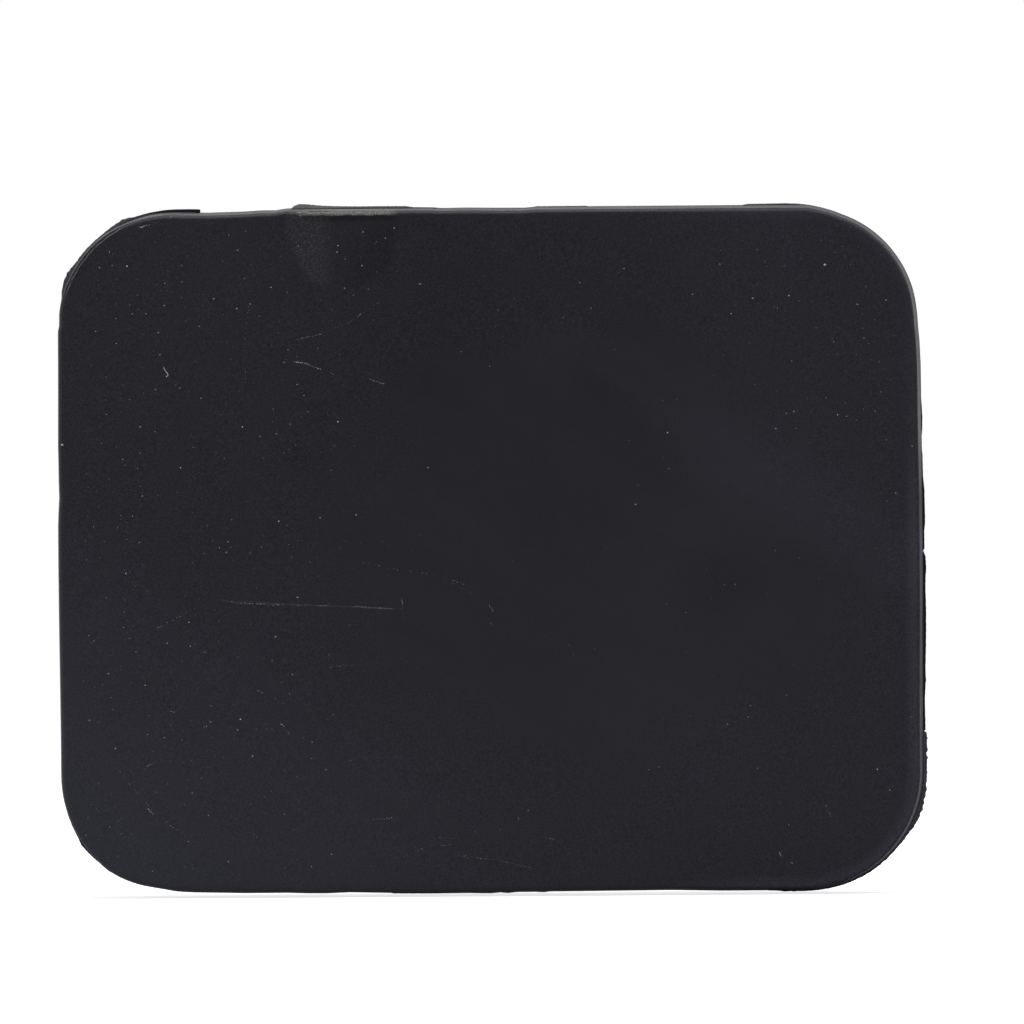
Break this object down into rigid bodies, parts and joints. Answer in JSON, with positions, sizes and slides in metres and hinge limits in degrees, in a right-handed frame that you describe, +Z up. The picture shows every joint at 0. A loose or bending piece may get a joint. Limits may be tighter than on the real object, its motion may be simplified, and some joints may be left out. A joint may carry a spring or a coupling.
{
  "type": "tow hook cover",
  "caption": "Rounded rectangular cover with a crowned face and skirt, closing the towing eye hole in a bumper; rigid hooks on one side and snap tongues on the other.",
  "frame": {"origin": "middle of the rim's outline, in the plane where the rim seats on the bumper", "axes": "+X to the right seen from outside the car, +Y into the bumper (the face looks along -Y), +Z up"},
  "size_m": [0.0701, 0.0162, 0.0558],
  "materials": {
    "black_plastic": "fine satin grain, unpainted, with handling marks"
  },
  "bodies": {
    "root": {"cover": "black_plastic"}
  },
  "joints": []
}
